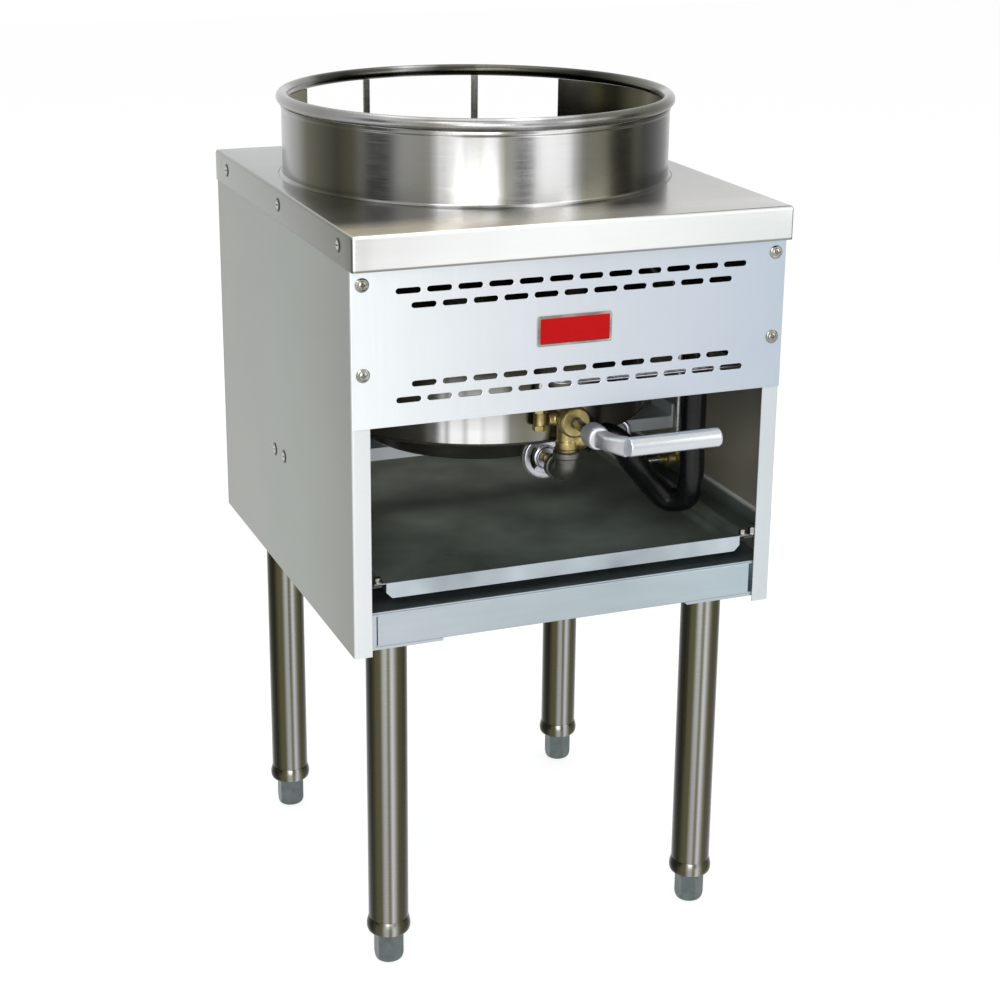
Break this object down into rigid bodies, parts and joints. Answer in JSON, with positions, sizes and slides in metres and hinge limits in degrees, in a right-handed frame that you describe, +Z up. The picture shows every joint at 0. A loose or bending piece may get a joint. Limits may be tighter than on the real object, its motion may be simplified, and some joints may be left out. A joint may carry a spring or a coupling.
{
  "type": "wok range",
  "caption": "Open-front gas wok range: round wok ring over a burner drum in a steel cabinet, lever gas valve, slide-out drip tray and adjustable tube legs.",
  "frame": {"origin": "on the floor, under the middle of the cabinet", "axes": "+Z up, -Y to the front where the lever is, +X to the right as seen from the front"},
  "size_m": [0.463, 0.6, 0.8853],
  "materials": {
    "deck_steel": "brushed stainless sheet, fine straight grain",
    "side_steel": "matt stainless sheet",
    "front_steel": "pale satin stainless sheet",
    "ring_steel": "rolled stainless with vertical bands",
    "rim_steel": "polished stainless tube",
    "drum_steel": "mirror rolled stainless",
    "base_steel": "dark heat-stained steel",
    "galvanised": "galvanised sheet",
    "leg_steel": "polished stainless tube",
    "foot_steel": "plated steel",
    "iron": "rough casting",
    "brass": "machined brass",
    "malleable": "grey malleable iron",
    "aluminium": "satin cast and turned aluminium",
    "black_pipe": "satin black pipe",
    "stem_steel": "turned steel"
  },
  "bodies": {
    "cabinet": {"top_cover": "deck_steel", "wok_ring": "ring_steel", "ring_rim": "rim_steel", "ring_strut_left": "rim_steel", "ring_strut_right": "rim_steel", "left_side_panel": "side_steel", "right_side_panel": "side_steel", "front_panel": "front_steel", "back_panel": "side_steel", "front_rail": "galvanised", "rear_rail": "galvanised", "left_rail": "galvanised", "right_rail": "galvanised", "bottom_panel": "galvanised", "leg_plate_front_left": "galvanised", "leg_plate_front_right": "galvanised", "leg_plate_rear_left": "galvanised", "leg_plate_rear_right": "galvanised", "leg_tube_front_left": "leg_steel", "leg_tube_front_right": "leg_steel", "leg_tube_rear_left": "leg_steel", "leg_tube_rear_right": "leg_steel", "leg_collar_front_left": "leg_steel", "leg_collar_front_right": "leg_steel", "leg_collar_rear_left": "leg_steel", "leg_collar_rear_right": "leg_steel", "combustion_drum": "drum_steel", "drum_base": "base_steel", "burner_bracket": "galvanised", "mixing_tube": "iron", "burner_head": "iron", "jet_crown": "brass", "orifice_spud": "brass", "valve_elbow": "malleable", "valve_body": "brass", "valve_bonnet": "brass", "inlet_union": "black_pipe", "supply_pipe": "black_pipe", "inlet_coupling": "malleable", "gas_inlet_nipple": "black_pipe", "pipe_clip": "galvanised", "pilot_take_off": "brass", "pilot_feed_tube": "aluminium", "pilot_valve": "brass", "pilot_tube": "aluminium", "pilot_burner": "brass", "tray_runner_left": "galvanised", "tray_runner_right": "galvanised"},
    "tray": {"drip_tray": "galvanised"},
    "lever": {"valve_stem": "stem_steel", "valve_lever": "aluminium", "lever_grip": "aluminium"},
    "shutter": {"air_shutter": "aluminium"},
    "front_left_foot": {"foot_front_left": "foot_steel"},
    "front_right_foot": {"foot_front_right": "foot_steel"},
    "rear_left_foot": {"foot_rear_left": "foot_steel"},
    "rear_right_foot": {"foot_rear_right": "foot_steel"}
  },
  "joints": [
    {"name": "tray_slide", "type": "slide", "parent": "cabinet", "child": "tray", "axis": [0, -1, 0], "range_m": [0, 0.36]},
    {"name": "lever_turn", "type": "hinge", "parent": "cabinet", "child": "lever", "pos_m": [0.025, -0.24, 0.577], "axis": [0, 1, 0], "range_deg": [0, 90]},
    {"name": "shutter_turn", "type": "hinge", "parent": "cabinet", "child": "shutter", "pos_m": [0.025, -0.12, 0.517], "axis": [0, 1, 0], "range_deg": [0, 90]},
    {"name": "front_left_foot_screw", "type": "slide", "parent": "cabinet", "child": "front_left_foot", "axis": [0, 0, -1], "range_m": [0, 0.02]},
    {"name": "front_right_foot_screw", "type": "slide", "parent": "cabinet", "child": "front_right_foot", "axis": [0, 0, -1], "range_m": [0, 0.02]},
    {"name": "rear_left_foot_screw", "type": "slide", "parent": "cabinet", "child": "rear_left_foot", "axis": [0, 0, -1], "range_m": [0, 0.02]},
    {"name": "rear_right_foot_screw", "type": "slide", "parent": "cabinet", "child": "rear_right_foot", "axis": [0, 0, -1], "range_m": [0, 0.02]}
  ]
}
